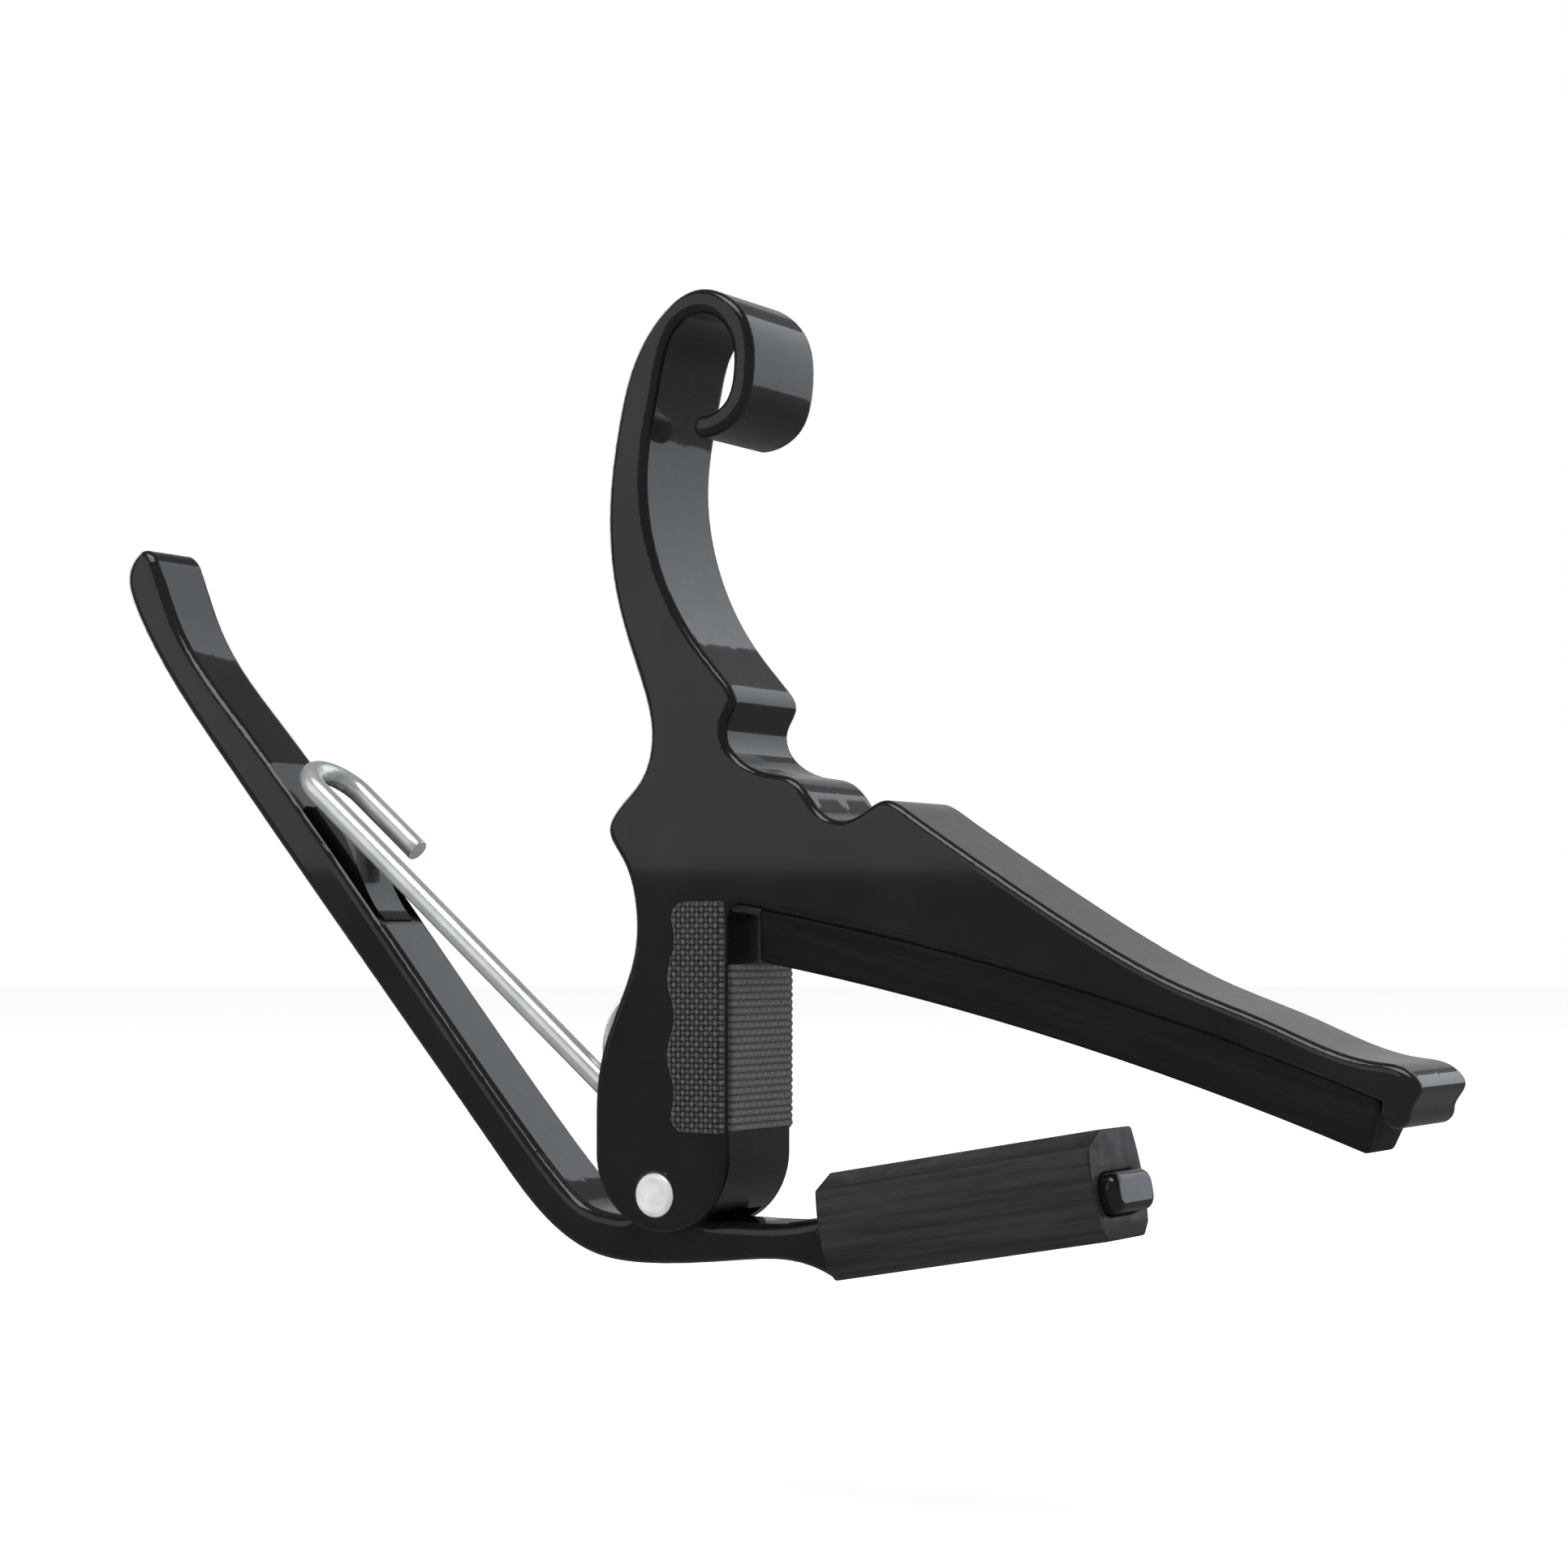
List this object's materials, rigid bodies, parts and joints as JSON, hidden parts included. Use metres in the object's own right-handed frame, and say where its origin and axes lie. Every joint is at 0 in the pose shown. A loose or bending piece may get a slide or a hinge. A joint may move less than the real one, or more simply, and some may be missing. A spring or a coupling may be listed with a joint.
{
  "type": "guitar capo",
  "caption": "Spring-clamp capo: a cast frame with string bar and curled thumb lever, hinged to a long sprung handle whose arm carries a rubber sleeve for the neck.",
  "frame": {"origin": "centre of the front cloth's face, which rests against the edge of the guitar's neck", "axes": "+X out of that face towards the tip of the string bar, +Y along the neck, +Z from the neck's back up to the strings"},
  "size_m": [0.1301, 0.0124, 0.0848],
  "materials": {
    "black_enamel": "gloss enamel on cast aluminium",
    "bright_steel": "bright zinc-plated steel",
    "pad_rubber": "smooth matt",
    "sleeve_rubber": "smooth satin",
    "ribbed_cloth": "ribbed weave",
    "woven_cloth": "plain weave"
  },
  "bodies": {
    "frame": {"frame": "black_enamel", "pivot_pin": "bright_steel", "string_pad": "pad_rubber", "torsion_spring": "bright_steel", "front_strip": "ribbed_cloth", "cheek_patch_near": "woven_cloth", "cheek_patch_far": "woven_cloth"},
    "lever": {"lever": "black_enamel", "neck_sleeve": "sleeve_rubber"}
  },
  "joints": [
    {"name": "lever_pivot", "type": "hinge", "parent": "frame", "child": "lever", "pos_m": [-0.0076, 0, -0.0127], "axis": [0, 1, 0], "range_deg": [0, 30], "stiffness_Nm_per_rad": 2.2, "springref_deg": -20.05, "deforming": ["torsion_spring"]}
  ]
}
